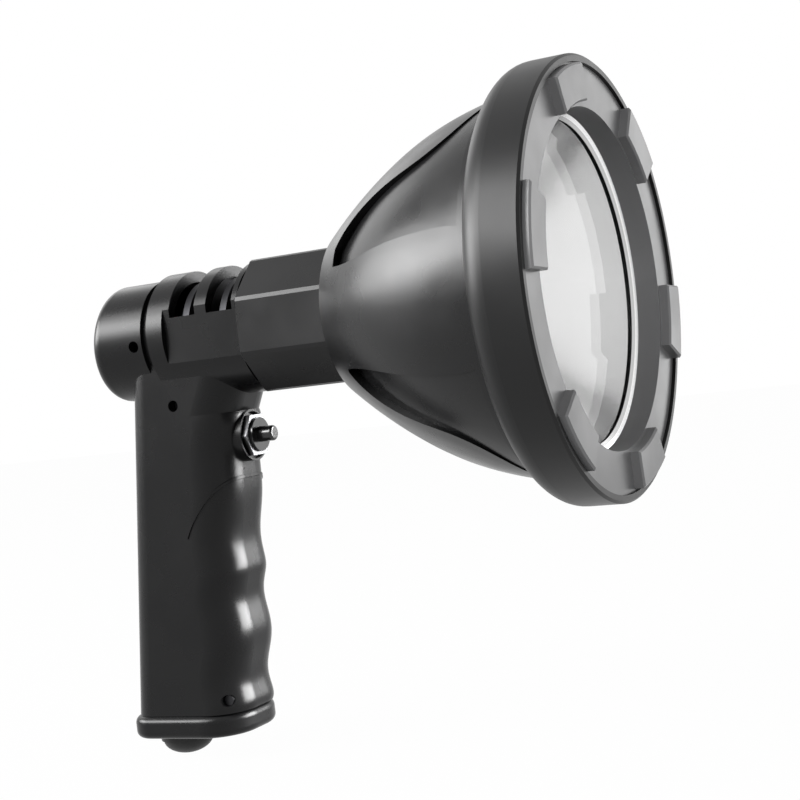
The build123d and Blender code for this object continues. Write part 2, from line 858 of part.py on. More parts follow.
# Insulating sleeve round the nose, which carries the reflector's throat
with BuildPart() as reflector_seat:
    with BuildSketch(station(bell_x)):
        Circle(throat_radius + reflector_wall)
        Circle(nose_radius + fit_clearance, mode=Mode.SUBTRACT)
    extrude(amount=throat_x - bell_x)

pieces["reflector_seat"] = reflector_seat

# Light source on the end of the nose
emitter_x = nose_x + led_board_thickness
with BuildPart() as led_board:
    with BuildSketch(station(nose_x)):
        Circle(led_board_radius)
        with PolarLocations(led_screw_circle, 2):
            Circle(led_screw_shank + fit_clearance, mode=Mode.SUBTRACT)
    extrude(amount=led_board_thickness)
pieces["led_board"] = led_board

with BuildPart() as led_emitter:
    with BuildSketch(station(emitter_x)):
        RectangleRounded(emitter_side, emitter_side, emitter_base / 2)
    extrude(amount=emitter_base)
    with BuildSketch(profile_plane(focus_x)):
        with BuildLine():
            Line((0, 0), (0, emitter_dome))
            CenterArc((0, 0), emitter_dome, 0, quarter_turn)
            Line((0, 0), (emitter_dome, 0))
        make_face()
    revolve(axis=light_axis)
pieces["led_emitter"] = led_emitter

for place_name, side in (("left", 1), ("right", -1)):
    with BuildPart() as led_screw:
        with BuildSketch(station(emitter_x)):
            with Locations((side * led_screw_circle, 0)):
                Circle(led_screw_radius)
        extrude(amount=led_screw_head)
        with BuildSketch(station(emitter_x)):
            with Locations((side * led_screw_circle, 0)):
                Circle(led_screw_shank)
        extrude(amount=-led_screw_length)
    pieces[f"led_screw_{place_name}"] = led_screw

# Driver against the end wall of the rear barrel, its parts on the front face
board_face_x = board_x + board_thickness


def on_board(shares):
    """Place on the driver board, from shares of the barrel's bore."""
    return (barrel_bore * shares[0], barrel_bore * shares[1])


with BuildPart() as driver_board:
    with BuildSketch(station(board_x)):
        Circle(barrel_bore - fit_clearance)
    extrude(amount=board_thickness)
pieces["driver_board"] = driver_board

with BuildPart() as driver_coil:
    with BuildSketch(station(board_face_x)):
        with Locations(on_board(coil_shares)):
            Circle(coil_radius)
            Circle(coil_hole, mode=Mode.SUBTRACT)
    extrude(amount=coil_height)
pieces["driver_coil"] = driver_coil

with BuildPart() as driver_chip:
    with BuildSketch(station(board_face_x)):
        with Locations(on_board(chip_shares)):
            Rectangle(chip_side, chip_side)
    extrude(amount=chip_height)
pieces["driver_chip"] = driver_chip

for number, shares in enumerate(capacitor_shares, start=1):
    with BuildPart() as driver_capacitor:
        with BuildSketch(station(board_face_x)):
            with Locations(on_board(shares)):
                Circle(capacitor_radius)
        extrude(amount=capacitor_height)
    pieces[f"driver_capacitor_{number}"] = driver_capacitor

# Battery pack in the grip: two cells in line with the rake, one up and one down
cell_top = cell_bottom + cell_length
pack_top = cell_top + contact_thickness + cradle_thickness
cell_place = (cell_spread, cell_stagger)
with BuildPart() as battery_cell_front:
    with BuildSketch(grip_frame.offset(cell_bottom)):
        with Locations(cell_place):
            Circle(cell_radius)
    extrude(amount=cell_length - cell_nub_height)
    chamfer(battery_cell_front.edges().filter_by(GeomType.CIRCLE), cell_edge)
    with BuildSketch(grip_frame.offset(cell_top)):
        with Locations(cell_place):
            Circle(cell_nub_radius)
    extrude(amount=-cell_nub_height - cell_edge)
pieces["battery_cell_front"] = battery_cell_front

flip_axis = Axis(
    grip_frame.offset((cell_bottom + cell_top) / 2).origin,
    grip_frame.x_dir * -cell_stagger + grip_frame.y_dir * cell_spread,
)
with BuildPart() as battery_cell_rear:
    add(battery_cell_front.part.rotate(flip_axis, 2 * quarter_turn))
pieces["battery_cell_rear"] = battery_cell_rear

with BuildPart() as cell_cradle:
    for plate_bottom in (pack_bottom, cell_top + contact_thickness):
        with BuildSketch(grip_frame.offset(plate_bottom)):
            with Locations(((cavity_middle - cradle_setback / 2) * math.cos(rake), 0)):
                add(
                    grip_outline(
                        (cavity_depth - cradle_setback) * math.cos(rake) - 4 * fit_clearance,
                        cavity_width - 2 * fit_clearance,
                        cavity_back_corner,
                        cavity_front_corner,
                    )
                )
        extrude(amount=cradle_thickness)
    with BuildSketch(grip_frame.offset(pack_bottom)):
        for side in (-1, 1):
            with Locations((side * rail_ahead, -side * rail_spread)):
                Rectangle(rail_side, rail_side)
    extrude(amount=pack_top - pack_bottom)
    # holes for the leads
    with BuildSketch(grip_frame.offset(pack_top)):
        for side in (-1, 1):
            with Locations((side * cell_spread, side * cell_stagger)):
                Circle(lead_radius + fit_clearance)
    extrude(amount=-cradle_thickness, mode=Mode.SUBTRACT)
pieces["cell_cradle"] = cell_cradle

for place_name, side in (("front", 1), ("rear", -1)):
    with BuildPart() as contact_upper:
        with BuildSketch(grip_frame.offset(cell_top)):
            with Locations((side * cell_spread, side * cell_stagger)):
                Rectangle(contact_side, contact_side)
        extrude(amount=contact_thickness)
    pieces[f"contact_upper_{place_name}"] = contact_upper

with BuildPart() as contact_lower:
    with BuildSketch(grip_frame.offset(cell_bottom)):
        SlotCenterToCenter(
            2 * math.hypot(cell_spread, cell_stagger),
            contact_side,
            rotation=math.degrees(math.atan2(cell_stagger, cell_spread)),
        )
    extrude(amount=-contact_thickness)
pieces["contact_lower"] = contact_lower


# Push button switch clamped in the boss on the front of the grip
switch_rear_x = switch_seat_x - switch_body_length
nut_x = boss_front - boss_recess + washer_thickness
bush_x = nut_x + nut_thickness + bush_stand
button_x = bush_x + button_stand
button_rear_x = button_x - button_length
cavity_floor_x = switch_rear_x + switch_cavity_wall
flange_x = button_rear_x + button_flange_thickness


def across_switch(x):
    """Plane across the switch's axis: local X is +Y, local Y is +Z."""
    return Plane(origin=(x, 0, switch_height), x_dir=(0, 1, 0), z_dir=(1, 0, 0))


with BuildPart() as switch_body:
    with BuildSketch(across_switch(switch_rear_x)):
        Circle(switch_body_radius)
    extrude(amount=switch_body_length)
    with BuildSketch(across_switch(switch_seat_x)):
        Circle(switch_thread_radius)
    extrude(amount=bush_x - switch_seat_x)
    with BuildSketch(across_switch(cavity_floor_x)):
        Circle(switch_cavity_radius)
    extrude(amount=flange_x - cavity_floor_x, mode=Mode.SUBTRACT)
    with BuildSketch(across_switch(flange_x)):
        Circle(button_radius + running_clearance)
    extrude(amount=bush_x - flange_x, mode=Mode.SUBTRACT)
pieces["switch_body"] = switch_body

with BuildPart() as switch_washer:
    with BuildSketch(across_switch(nut_x)):
        Circle(washer_radius)
        Circle(switch_thread_radius + fit_clearance, mode=Mode.SUBTRACT)
    extrude(amount=-washer_thickness)
pieces["switch_washer"] = switch_washer

with BuildPart() as switch_nut:
    with BuildSketch(across_switch(nut_x)):
        RegularPolygon(nut_flats / 2, 6, major_radius=False)
        Circle(switch_thread_radius + fit_clearance, mode=Mode.SUBTRACT)
    extrude(amount=nut_thickness)
pieces["switch_nut"] = switch_nut

with BuildPart() as trigger_button:
    with BuildSketch(across_switch(button_rear_x)):
        Circle(button_radius)
    extrude(amount=button_length)
    fillet(trigger_button.edges().sort_by(Axis.X)[-1], button_round)
    with BuildSketch(across_switch(button_rear_x)):
        Circle(button_flange_radius)
    extrude(amount=button_flange_thickness)
pieces["trigger_button"] = trigger_button

with BuildPart() as switch_spring:
    spring_start = cavity_floor_x + spring_wire / 2 + fit_clearance
    spring_end = button_rear_x - spring_wire / 2 - fit_clearance
    with BuildLine() as spring_line:
        Helix(
            pitch=(spring_end - spring_start) / spring_turns,
            height=spring_end - spring_start,
            radius=spring_radius,
            center=(spring_start, 0, switch_height),
            direction=(1, 0, 0),
        )
    with BuildSketch(Plane(origin=spring_line.line @ 0, z_dir=spring_line.line % 0)):
        Circle(spring_wire / 2)
    sweep(is_frenet=True)
pieces["switch_spring"] = switch_spring


# Leads, each a tube along straight runs joined by arcs
def lead(y, points, bend):
    """Tube in the upright plane at one y, through points given as (x, z)."""
    with BuildPart() as tube:
        with BuildLine(Plane.XZ.offset(-y)) as route:
            FilletPolyline(*points, radius=bend)
        with BuildSketch(Plane(origin=route.line @ 0, z_dir=route.line % 0)):
            Circle(lead_radius)
        sweep(path=route.line)
    return tube


def in_grip(ahead, rise):
    """Point (x, z) in an upright plane, from places forward of and up the raked centre line."""
    return (
        ahead * math.cos(rake) + rise * math.sin(rake),
        rise * math.cos(rake) - ahead * math.sin(rake),
    )


for place_name, side in (("right", -1), ("left", 1)):
    led_lead_z = light_axis_height + led_lead_rise
    led_route = [
        (board_face_x, led_lead_z),
        (core_x - led_lead_turn - led_lead_rise, led_lead_z),
        (core_x - led_lead_turn, light_axis_height),
        (nose_x, light_axis_height),
    ]
    pieces[f"led_lead_{place_name}"] = lead(side * led_lead_spread, led_route, lead_bend)
    switch_route = [
        (switch_rear_x, switch_height),
        (switch_rear_x - switch_lead_back, switch_height),
        (switch_rear_x - switch_lead_back, light_axis_height - switch_lead_drop),
        (board_face_x, light_axis_height - switch_lead_drop),
    ]
    pieces[f"switch_lead_{place_name}"] = lead(side * switch_lead_spread, switch_route, lead_bend)

for place_name, side in (("front", 1), ("rear", -1)):
    contact_top = cell_top + contact_thickness
    battery_route = [
        in_grip(side * cell_spread, contact_top),
        in_grip(side * cell_spread, contact_top + battery_lead_rise),
        (battery_lead_x, contact_top + battery_lead_climb),
        (battery_lead_x, light_axis_height - battery_lead_drop),
        (board_face_x, light_axis_height - battery_lead_drop),
    ]
    pieces[f"battery_lead_{place_name}"] = lead(
        side * cell_stagger, battery_route, 2 * lead_radius
    )

# Foot of the grip, with the recess of the charging socket in its underside
foot_bottom = grip_bottom - foot_height
foot_forward = grip_front_at(*finger_shares[-1][1:])
foot_rear_x = lean(grip_bottom) - grip_back - foot_flare
foot_front_x = lean(grip_bottom) + foot_forward + fit_clearance
recess_z = foot_bottom + socket_recess_depth
with BuildPart() as base_plate:
    with BuildSketch(level(foot_bottom)):
        with Locations(((foot_rear_x + foot_front_x) / 2, 0)):
            add(
                grip_outline(
                    foot_front_x - foot_rear_x,
                    grip_width + 2 * foot_flare,
                    foot_back_corner,
                    foot_front_corner,
                )
            )
    extrude(amount=foot_height)
    fillet(base_plate.edges().filter_by(Plane.XY), foot_round)
    with BuildSketch(level(grip_bottom)):
        with Locations((-socket_setback, 0)):
            Circle(socket_radius + socket_boss_wall)
    extrude(amount=socket_boss_height)
    with BuildSketch(level(foot_bottom)):
        with Locations((-socket_setback, 0)):
            Circle(socket_recess_radius)
    extrude(amount=socket_recess_depth, mode=Mode.SUBTRACT)
    with BuildSketch(level(recess_z)):
        with Locations((-socket_setback, 0)):
            Circle(socket_radius + fit_clearance)
    extrude(amount=foot_height + socket_boss_height, mode=Mode.SUBTRACT)
    with BuildSketch(level(foot_bottom)):
        with Locations(*foot_screws.values()):
            Circle(screw_hole_radius)
    extrude(amount=foot_seat_depth, mode=Mode.SUBTRACT)
    with BuildSketch(level(foot_bottom)):
        with Locations(*foot_screws.values()):
            Circle(screw_shank_radius + fit_clearance)
    extrude(amount=foot_height, mode=Mode.SUBTRACT)
    hinge_x = -socket_setback + cover_radius + hinge_lead
    stud_x = hinge_x + stud_ahead
    with BuildSketch(level(foot_bottom)):
        with Locations((stud_x, 0)):
            Circle(stud_radius + fit_clearance)
    extrude(amount=stud_length + fit_clearance, mode=Mode.SUBTRACT)
pieces["base_plate"] = base_plate

for place_name, place in foot_screws.items():
    with BuildPart() as base_screw:
        with BuildSketch(level(foot_bottom + foot_seat_depth)):
            with Locations(place):
                Circle(screw_head_radius)
        extrude(amount=-screw_head_height)
        with BuildSketch(level(foot_bottom + foot_seat_depth)):
            with Locations(place):
                Circle(screw_shank_radius)
        extrude(amount=foot_height - foot_seat_depth + foot_screw_length - fit_clearance)
    pieces[f"base_screw_{place_name}"] = base_screw

with BuildPart() as charge_socket:
    with BuildSketch(level(recess_z)):
        with Locations((-socket_setback, 0)):
            Circle(socket_radius)
    extrude(amount=socket_length)
    with BuildSketch(level(recess_z)):
        with Locations((-socket_setback, 0)):
            Circle(socket_bore)
    extrude(amount=socket_bore_depth, mode=Mode.SUBTRACT)
pieces["charge_socket"] = charge_socket

with BuildPart() as charge_pin:
    with BuildSketch(level(recess_z + socket_bore_depth)):
        with Locations((-socket_setback, 0)):
            Circle(socket_pin_radius)
    extrude(amount=-socket_bore_depth)
pieces["charge_pin"] = charge_pin

# Rubber dome over the socket, on a tether whose bend is the hinge
cover_top = foot_bottom - cover_gap
cover_middle = Plane(origin=(-socket_setback, 0, 0), x_dir=(1, 0, 0), z_dir=(0, -1, 0))
with BuildPart() as port_cover:
    with BuildSketch(cover_middle):
        with BuildLine():
            dome_radius = cover_radius - cover_shoulder
            dome_top = cover_top - cover_rim
            dome_drop = cover_height - cover_gap - cover_rim
            Polyline(
                (0, foot_bottom - cover_height),
                (0, cover_top + cover_spigot_height),
                (cover_spigot_radius, cover_top + cover_spigot_height),
                (cover_spigot_radius, cover_top),
                (cover_radius, cover_top),
                (cover_radius, dome_top),
                (dome_radius, dome_top),
            )
            EllipticalCenterArc(
                (0, dome_top),
                dome_radius,
                dome_drop,
                start_angle=-quarter_turn,
                arc_size=quarter_turn,
            )
        make_face()
    revolve(axis=Axis((-socket_setback, 0, 0), (0, 0, 1)))
    with BuildSketch(level(cover_top)):
        with Locations((-socket_setback + cover_spigot_radius, 0)):
            tab_reach = hinge_x - bend_gap + socket_setback - cover_spigot_radius
            Rectangle(tab_reach, tether_width, align=(Align.MIN, Align.CENTER))
    extrude(amount=-tether_thickness)
pieces["port_cover"] = port_cover

with BuildPart() as cover_tether:
    with BuildSketch(level(foot_bottom)):
        with Locations((hinge_x + 2 * bend_gap, 0)):
            Rectangle(tether_length, tether_width, align=(Align.MIN, Align.CENTER))
    extrude(amount=-tether_thickness)
    far_corners = cover_tether.edges().filter_by(Axis.Z).sort_by(Axis.X)[-2:]
    fillet(far_corners, tether_corner)
    with BuildSketch(level(foot_bottom)):
        with Locations((stud_x, 0)):
            Circle(stud_radius)
    extrude(amount=stud_length)
pieces["cover_tether"] = cover_tether

for name, piece in pieces.items():
    piece.part.label = name
    export_step(piece.part, f"parts/{name}.step")
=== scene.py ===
# %% [markdown]
# A handheld searchlight: a pistol grip, a vented rear barrel, an octagonal neck, a domed bell with
# four scooped recesses, a wide band, a castellated ring, a clear lens and a bright reflector.
# Nearly all that shows is black moulded plastic, so the eye reads the shape from soft highlights. A
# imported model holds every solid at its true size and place, and this lesson dresses it: the camera
# and the page come first, then the lamps and the finishes, and last the few pieces that the packed
# model lacks.

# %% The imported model
import json
import math

import bpy
from mathutils import Matrix, Vector


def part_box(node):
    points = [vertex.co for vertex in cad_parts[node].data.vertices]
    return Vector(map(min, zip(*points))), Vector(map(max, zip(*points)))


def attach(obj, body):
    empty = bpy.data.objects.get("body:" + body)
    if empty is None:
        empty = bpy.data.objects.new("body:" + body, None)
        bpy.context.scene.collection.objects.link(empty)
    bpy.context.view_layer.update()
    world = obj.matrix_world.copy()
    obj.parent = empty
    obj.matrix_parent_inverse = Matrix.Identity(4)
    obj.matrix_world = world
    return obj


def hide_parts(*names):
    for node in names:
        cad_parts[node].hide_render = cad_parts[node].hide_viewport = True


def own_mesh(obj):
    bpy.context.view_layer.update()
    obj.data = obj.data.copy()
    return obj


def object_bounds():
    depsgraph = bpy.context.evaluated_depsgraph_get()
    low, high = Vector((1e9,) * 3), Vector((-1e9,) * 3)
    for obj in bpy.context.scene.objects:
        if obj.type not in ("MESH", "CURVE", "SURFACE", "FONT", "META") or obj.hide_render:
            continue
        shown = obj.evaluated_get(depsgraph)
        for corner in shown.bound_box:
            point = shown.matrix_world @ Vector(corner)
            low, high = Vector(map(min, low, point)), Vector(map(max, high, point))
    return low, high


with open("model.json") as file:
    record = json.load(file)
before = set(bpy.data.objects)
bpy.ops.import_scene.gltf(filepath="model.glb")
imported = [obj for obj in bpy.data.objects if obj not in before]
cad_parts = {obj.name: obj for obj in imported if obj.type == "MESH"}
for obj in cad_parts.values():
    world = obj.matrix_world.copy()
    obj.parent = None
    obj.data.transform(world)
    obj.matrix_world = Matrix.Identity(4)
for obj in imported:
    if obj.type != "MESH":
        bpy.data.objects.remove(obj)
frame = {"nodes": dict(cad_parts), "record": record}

cad_low, cad_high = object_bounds()
nodes = frame["nodes"]

# %% [markdown]
# Everything is placed from the light itself. The height of the light axis could be typed in, but
# read off the band it stays right when the model changes. The band is round, so its middle is the
# light axis, and its front edge is the lip.

# %% Places read from the solids
MM = 0.001
band_low, band_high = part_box("bezel_band")
axis_height = (band_low.z + band_high.z) / 2
lip_centre = Vector((band_high.x, 0, axis_height))
floor_height = cad_low.z
scene = bpy.context.scene
print(f"light axis at z {axis_height / MM:.1f} mm, lip at x {lip_centre.x / MM:.1f} mm")

# %% [markdown]
# The photograph is taken from the light's right side, a little ahead of it, at the height of the
# head, with the whole light tilted in the frame. A camera could be turned by eye until the view
# looks right. Here two angles and a roll give its direction, because the ellipse of the band and
# the long lines of the neck fix them well. The camera then slides sideways by two offsets, which
# puts the lip right of and above the middle of the frame and needs no lens shift.

# %% Direction of the camera
camera_azimuth = math.radians(26.83)
camera_elevation = math.radians(1.02)
camera_roll = math.radians(-6.73)

towards_camera = Vector((
    math.sin(camera_azimuth) * math.cos(camera_elevation),
    -math.cos(camera_azimuth) * math.cos(camera_elevation),
    math.sin(camera_elevation),
))
level_right = Vector((0, 0, 1)).cross(towards_camera).normalized()
level_up = towards_camera.cross(level_right)
view_right = level_right * math.cos(camera_roll) + level_up * math.sin(camera_roll)
view_up = level_up * math.cos(camera_roll) - level_right * math.sin(camera_roll)
print("towards the camera", [round(v, 3) for v in towards_camera])

# %% Camera
camera_distance = 500 * MM
camera_right = -64.6 * MM
camera_up = -37.7 * MM
frame_width = 800
focal_pixels = 1609.0
sensor_width = 36.0
nearest_seen = 10 * MM
furthest_seen = 20000 * MM

camera_data = bpy.data.cameras.new("camera")
camera_data.sensor_width = sensor_width
camera_data.lens = sensor_width * focal_pixels / frame_width
camera_data.clip_start = nearest_seen
camera_data.clip_end = furthest_seen
camera = bpy.data.objects.new("camera", camera_data)
scene.collection.objects.link(camera)
scene.camera = camera
camera.rotation_mode = "QUATERNION"
camera.rotation_quaternion = Matrix((view_right, view_up, towards_camera)).transposed().to_quaternion()
camera.location = (
    lip_centre
    + towards_camera * camera_distance
    + view_right * camera_right
    + view_up * camera_up
)
print("camera lens", round(camera_data.lens, 1), "mm")

# %% [markdown]
# A material is a small network of nodes. It could be wired by hand in the shader editor. In a
# script, two helpers keep it short: one starts an empty material, and the other adds a node and
# sets the sockets that are the same all over the surface.

# %% Helpers for materials


def new_material(name):
    """An empty node material, with its tree and its output node."""
    material = bpy.data.materials.new(name)
    material.use_nodes = True
    tree = material.node_tree
    tree.nodes.clear()
    output = tree.nodes.new("ShaderNodeOutputMaterial")
    return material, tree, output


def add_node(tree, kind, sockets):
    """A node of a kind, with the given values set straight on its named sockets."""
    node = tree.nodes.new(kind)
    for socket, value in sockets.items():
        node.inputs[socket].default_value = value
    return node


print("materials before the first one is made:", len(bpy.data.materials))

# %% [markdown]
# The light hangs on plain white in the photograph. More lamps on the floor would make it white too,
# but their light would come back and turn the black plastic grey. So the page looks white only to
# the camera and to rays that leave metal or pass through glass, and stays dim for all others. The
# Light Path node tells these rays apart. The Standard view shows a strength of one as pure white,
# and other views would grey it.

# %% Rays that see the page
white = (1.0, 1.0, 1.0, 1.0)
scene.view_settings.view_transform = "Standard"


def page_rays(tree):
    """One for the rays of the camera and for those off metal or through glass, else nought."""
    path = tree.nodes.new("ShaderNodeLightPath")
    seen = path.outputs["Is Camera Ray"]
    for ray in ("Is Glossy Ray", "Is Transmission Ray"):
        either = tree.nodes.new("ShaderNodeMath")
        either.operation = "MAXIMUM"
        tree.links.new(seen, either.inputs[0])
        tree.links.new(path.outputs[ray], either.inputs[1])
        seen = either.outputs["Value"]
    return seen


print("page colour", white, "in the view", scene.view_settings.view_transform)

# %% World
dim_strength = 0.14
page_strength = 1.0

world = bpy.data.worlds.new("page")
scene.world = world
world.use_nodes = True
sky = world.node_tree
sky.nodes.clear()
sky_output = sky.nodes.new("ShaderNodeOutputWorld")
sky_dim = add_node(sky, "ShaderNodeBackground", {"Color": white, "Strength": dim_strength})
sky_page = add_node(sky, "ShaderNodeBackground", {"Color": white, "Strength": page_strength})
sky_mix = sky.nodes.new("ShaderNodeMixShader")
sky.links.new(page_rays(sky), sky_mix.inputs["Fac"])
sky.links.new(sky_dim.outputs["Background"], sky_mix.inputs[1])
sky.links.new(sky_page.outputs["Background"], sky_mix.inputs[2])
sky.links.new(sky_mix.outputs["Shader"], sky_output.inputs["Surface"])
print("world strength", dim_strength, "for the object,", page_strength, "for the page")

# %% Floor material
floor_grey = (0.35, 0.35, 0.35, 1.0)
floor_white_share = 0.985

floor_material, floor_tree, floor_output = new_material("floor_page")
floor_matte = add_node(floor_tree, "ShaderNodeBsdfDiffuse", {"Color": floor_grey})
floor_glow = add_node(floor_tree, "ShaderNodeEmission", {"Color": white})
floor_share = add_node(floor_tree, "ShaderNodeMath", {1: floor_white_share})
floor_share.operation = "MULTIPLY"
floor_mix = floor_tree.nodes.new("ShaderNodeMixShader")
floor_tree.links.new(page_rays(floor_tree), floor_share.inputs[0])
floor_tree.links.new(floor_share.outputs["Value"], floor_mix.inputs["Fac"])
floor_tree.links.new(floor_matte.outputs["BSDF"], floor_mix.inputs[1])
floor_tree.links.new(floor_glow.outputs["Emission"], floor_mix.inputs[2])
floor_tree.links.new(floor_mix.outputs["Shader"], floor_output.inputs["Surface"])
print("share of the floor that is plain white", floor_white_share)

# %% [markdown]
# The floor is one large plane at the lowest point of the light. Adding a plane is the plainest way.
# The little of its matte part that shows keeps a faint shadow. The loaded solids are still selected,
# and an operator acts on all that is selected, so nothing is left selected before anything is added.

# %% Floor
floor_side = 6000 * MM

bpy.ops.object.select_all(action="DESELECT")
bpy.ops.mesh.primitive_plane_add(size=floor_side, location=(0, 0, floor_height))
floor = bpy.context.active_object
floor.name = "floor"
floor.data.materials.append(floor_material)
print("floor at z", round(floor_height / MM, 1), "mm")

# %% [markdown]
# Studio lamps are large soft boxes. A point lamp would leave small hard glints on moulded plastic,
# and a box leaves a broad soft one. Black plastic shows a box only where it mirrors it, so each box
# is placed by the highlight that it makes: the way to it is the line of sight mirrored in the
# surface. The brightness is given as radiance, because that is what a highlight shows, whatever
# the size of the box and its distance.

# %% Helper for lamps


def soft_box(name, aim, way, distance, width, height, radiance):
    """A rectangular lamp at a distance from a point of the light, along a way, facing that point."""
    data = bpy.data.lights.new(name, "AREA")
    data.shape = "RECTANGLE"
    data.size = width
    data.size_y = height
    data.energy = radiance * math.pi * width * height
    lamp = bpy.data.objects.new(name, data)
    scene.collection.objects.link(lamp)
    lamp.location = aim + Vector(way).normalized() * distance
    lamp.rotation_mode = "QUATERNION"
    lamp.rotation_quaternion = (aim - lamp.location).to_track_quat("-Z", "Y")
    return lamp


def light_only(lamp, name, lit):
    """Let a lamp reach only the named solids."""
    receivers = bpy.data.collections.new(name)
    for node in lit:
        receivers.objects.link(nodes[node])
    lamp.light_linking.receiver_collection = receivers


# %% [markdown]
# Two boxes on the left, and a third in front above it, put the long highlights on the bell, the band
# and the barrel. A faint one behind on the left opens up the scooped recesses. One behind on the
# right is what the flat face of the ring mirrors. The upright side of the grip mirrors none of
# them, so it stays dark, as in the photograph.

# %% Lamps round the head
bell_setback = 60 * MM
head_middle = lip_centre - Vector((bell_setback, 0, 0))

soft_box(
    "left", head_middle, way=(-0.91, -0.30, 0.28), distance=1.3,
    width=0.8, height=0.45, radiance=12,
)
soft_box(
    "left_front", head_middle, way=(-0.78, -0.50, 0.38), distance=1.3,
    width=0.9, height=0.5, radiance=12,
)
soft_box(
    "front_high", head_middle, way=(-0.45, -0.70, 0.55), distance=1.3,
    width=0.9, height=0.7, radiance=13,
)
soft_box(
    "recesses", head_middle, way=(-0.75, 0.45, 0.48), distance=1.4,
    width=0.8, height=0.6, radiance=1.3,
)
soft_box(
    "ring_face", lip_centre, way=(0.48, 0.87, 0.07), distance=1.3,
    width=0.9, height=0.9, radiance=1.7,
)

# %% [markdown]
# The rounded corner of the grip has a string of bright spots, one on each finger rib. Only a strong
# box on the camera's right makes them, and it would burn out the reflector. A flag between the two
# would shade the reflector in a studio. Here light linking does the same with no extra object: the
# box reaches only the grip and its button, and a second box beside the camera only the ring.

# %% Lamps for one part
grip_middle = Vector((0, 0, 0))

grip_corner = soft_box(
    "grip_corner", grip_middle, way=(0.82, 0.45, 0.10), distance=1.1,
    width=0.8, height=1.0, radiance=42,
)
light_only(
    grip_corner, "grip_lit",
    ("handle_right", "handle_left", "base_plate", "switch_nut", "trigger_button"),
)
ring_fill = soft_box(
    "ring_fill", lip_centre, way=(0.55, -0.80, 0.25), distance=1.4,
    width=1.0, height=1.0, radiance=6,
)
light_only(ring_fill, "ring_lit", ("front_ring",))

# %% [markdown]
# Moulded plastic is a dark base with a clear, slightly rough skin. A picture of the surface could be
# wrapped round each piece, but it would need unwrapping and would show its pixels close up. Noise is
# worked out at every point instead. A fine noise only tilts the surface a little, as the grain of
# the mould does, and a broad one changes the roughness, as handling does. Both read Object
# coordinates, so they stay put on the piece in every view.

# %% Helper for grain


def add_grain(tree, surface, size, depth, detail, strength):
    """Tilt a surface by fine noise, and give the node of its place for other noise to use."""
    place = tree.nodes.new("ShaderNodeTexCoord")
    grain = add_node(tree, "ShaderNodeTexNoise", {"Scale": 1 / size, "Detail": detail})
    bump = add_node(tree, "ShaderNodeBump", {"Strength": strength, "Distance": depth})
    tree.links.new(place.outputs["Object"], grain.inputs["Vector"])
    tree.links.new(grain.outputs["Fac"], bump.inputs["Height"])
    tree.links.new(bump.outputs["Normal"], surface.inputs["Normal"])
    return place


# %% Helper for plastic
mould_detail = 3
mould_strength = 0.35
smears_per_metre = 45
smear_detail = 4
smear_low = 0.35
smear_high = 0.7


def plastic(name, color, roughness, grain_size, grain_depth, wear=0.06, specular=0.5):
    """Moulded plastic with a fine grain and uneven gloss."""
    material, tree, output = new_material(name)
    surface = add_node(tree, "ShaderNodeBsdfPrincipled", {
        "Base Color": (*color, 1),
        "Specular IOR Level": specular,
    })
    place = add_grain(tree, surface, grain_size, grain_depth, mould_detail, mould_strength)
    smear = add_node(tree, "ShaderNodeTexNoise", {"Scale": smears_per_metre, "Detail": smear_detail})
    gloss = add_node(tree, "ShaderNodeMapRange", {
        "From Min": smear_low,
        "From Max": smear_high,
        "To Min": roughness - wear,
        "To Max": roughness + wear,
    })
    tree.links.new(place.outputs["Object"], smear.inputs["Vector"])
    tree.links.new(smear.outputs["Fac"], gloss.inputs["Value"])
    tree.links.new(gloss.outputs["Result"], surface.inputs["Roughness"])
    tree.links.new(surface.outputs["BSDF"], output.inputs["Surface"])
    print("plastic", name)
    return material


# %% [markdown]
# The outer plastics share one black and differ in gloss. The grip mirrors least, the bell and neck
# are satin, and the band is a little rougher. The ring looks grey in the photograph, so it has a
# lighter base. One plastic could serve them all, but then the joints between the pieces would
# hardly show.

# %% Black plastics
black = (0.004, 0.004, 0.0042)
ring_grey = (0.1, 0.1, 0.102)
satin = 0.27

grip_black = plastic(
    "grip_black", black, roughness=0.28,
    grain_size=0.5 * MM, grain_depth=0.02 * MM, wear=0.03, specular=0.19,
)
head_black = plastic(
    "head_black", black, roughness=0.30,
    grain_size=0.35 * MM, grain_depth=0.012 * MM, wear=0.05, specular=satin,
)
band_black = plastic(
    "band_black", black, roughness=0.38,
    grain_size=0.35 * MM, grain_depth=0.008 * MM, wear=0.03, specular=satin,
)
ring_black = plastic(
    "ring_black", ring_grey, roughness=0.34, grain_size=0.35 * MM, grain_depth=0.012 * MM,
)
button_black = plastic(
    "button_black", black, roughness=0.22, grain_size=0.3 * MM, grain_depth=0.006 * MM,
)

# %% [markdown]
# Rubber is dull, because its skin scatters light widely: it takes a high roughness and a coarser
# grain. The pieces inside are bare plastic in the colours that such pieces have, and the same helper
# makes them, so they need no material of their own kind.

# %% Rubber and inner plastics
rubber_grey = (0.014, 0.014, 0.014)

